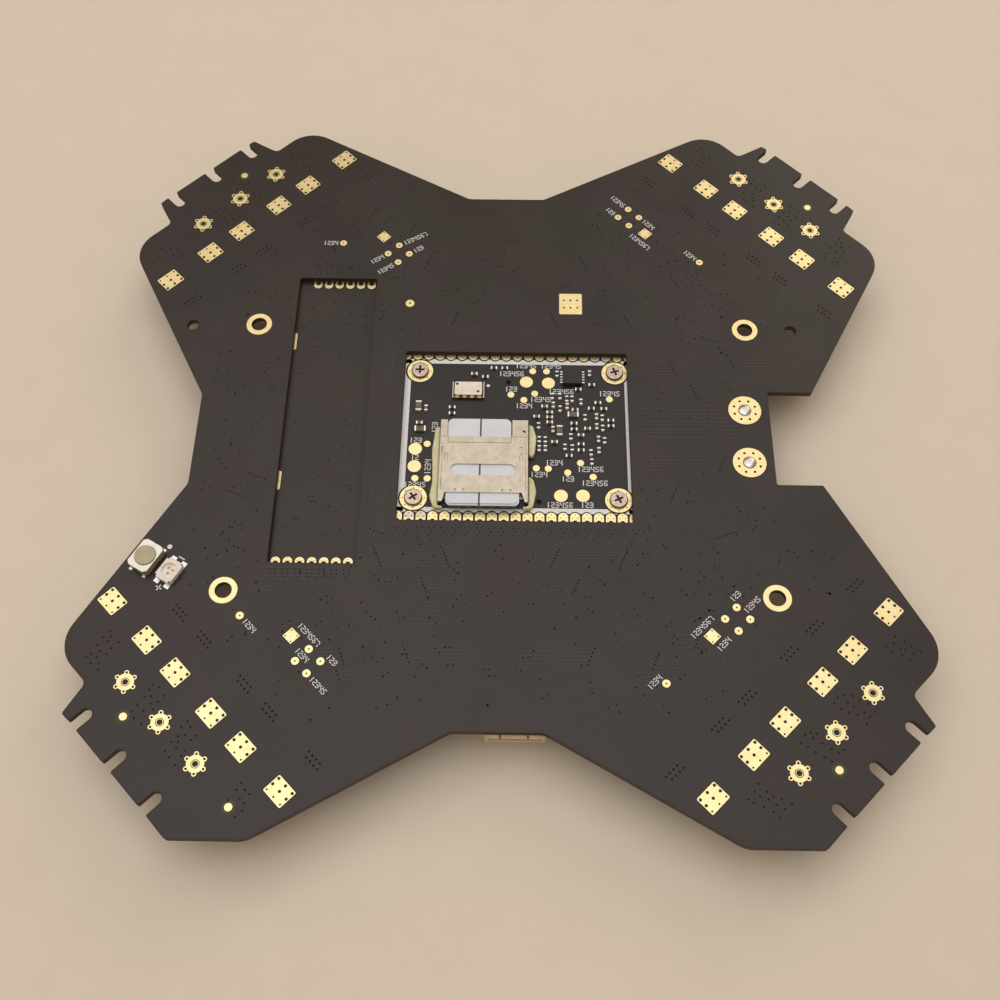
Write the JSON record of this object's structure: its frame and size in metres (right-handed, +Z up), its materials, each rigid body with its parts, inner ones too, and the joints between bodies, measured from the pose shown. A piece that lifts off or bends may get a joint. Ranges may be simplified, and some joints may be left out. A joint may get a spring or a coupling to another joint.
{
  "type": "electronic speed controller",
  "caption": "X-shaped circuit board that drives motors on its arms, with a core module seen through a window, a flip-lid memory card socket, a push switch and a status light.",
  "frame": {"origin": "on the main board's top face, where the centre lines of opposite arms cross", "axes": "+Z up out of the top face, away from the power parts; +Y towards the rear arms; +X to the right, towards the battery lands"},
  "size_m": [0.1232, 0.1231, 0.0109],
  "materials": {
    "board_mask": "satin",
    "module_mask": "satin",
    "gold_plate": "satin",
    "tinned_lead": "satin",
    "solder": "satin",
    "plated_steel": "satin",
    "turned_brass": "satin",
    "black_resin": "matte",
    "grey_resin": "matte",
    "capacitor_ceramic": "satin",
    "resistor_black": "satin",
    "sensor_lid": "satin",
    "lid_steel": "satin",
    "socket_plastic": "matte",
    "card_white": "satin",
    "glue": "gloss",
    "switch_metal": "satin",
    "button_plastic": "satin",
    "light_resin": "gloss",
    "light_chip": "gloss",
    "can_aluminium": "satin",
    "ferrite": "matte",
    "connector_plastic": "satin"
  },
  "bodies": {
    "board": {"main_board": "board_mask", "mounting_hole_lands": "gold_plate", "thermal_pads": "gold_plate", "motor_wire_pads": "gold_plate", "power_pads": "gold_plate", "power_posts": "tinned_lead", "power_post_solder": "solder", "round_test_pads": "gold_plate", "square_test_pads": "gold_plate", "fiducial_dots": "gold_plate", "sense_pads": "gold_plate", "core_module_board": "module_mask", "core_module_edge_pads": "gold_plate", "core_module_corner_pads": "gold_plate", "core_module_test_pads": "gold_plate", "module_screws": "plated_steel", "module_standoffs": "turned_brass", "pressure_sensor_base": "gold_plate", "pressure_sensor_lid": "sensor_lid", "transceiver_body": "black_resin", "transceiver_leads": "tinned_lead", "chip_capacitors": "capacitor_ceramic", "chip_resistors": "resistor_black", "chip_end_caps": "tinned_lead", "card_socket_base": "socket_plastic", "card_socket_contacts": "gold_plate", "glue_beads": "glue", "switch_base": "socket_plastic", "switch_dome": "plated_steel", "switch_cover": "switch_metal", "switch_terminals": "tinned_lead", "status_light_body": "light_resin", "status_light_chips": "light_chip", "status_light_terminals": "tinned_lead", "side_module_board": "module_mask", "side_module_edge_pads": "gold_plate", "side_module_tabs": "gold_plate", "side_module_chips": "black_resin", "transistor_lead_frames": "tinned_lead", "power_transistors": "black_resin", "gate_drivers": "black_resin", "motor_controllers": "grey_resin", "current_shunts": "grey_resin", "filter_capacitors": "capacitor_ceramic", "filter_capacitor_ends": "tinned_lead", "bulk_capacitor_bases": "socket_plastic", "bulk_capacitor_cans": "can_aluminium", "power_inductors": "ferrite", "regulator_chips": "black_resin", "regulator_leads": "tinned_lead", "front_connector_housing": "connector_plastic", "front_connector_pins": "tinned_lead", "processor": "black_resin", "crystal": "plated_steel", "motion_sensor": "black_resin"},
    "lid_pivot": {"card_lid_hinge_pins": "plated_steel"},
    "card_lid": {"card_lid": "lid_steel"},
    "memory_card": {"memory_card": "card_white"},
    "switch_button": {"switch_button": "button_plastic"}
  },
  "joints": [
    {"name": "lid_turn", "type": "hinge", "parent": "board", "child": "lid_pivot", "pos_m": [-0.00275, 0.0013, 0.0003], "axis": [-1, 0, 0], "range_deg": [0, 90]},
    {"name": "lid_unlock", "type": "slide", "parent": "lid_pivot", "child": "card_lid", "axis": [0, 1, 0], "range_m": [0, 0.0004]},
    {"name": "card_slide", "type": "slide", "parent": "card_lid", "child": "memory_card", "axis": [0, -1, 0], "range_m": [0, 0.0115]},
    {"name": "button_press", "type": "slide", "parent": "board", "child": "switch_button", "axis": [0, 0, -1], "range_m": [0, 0.0002]}
  ]
}
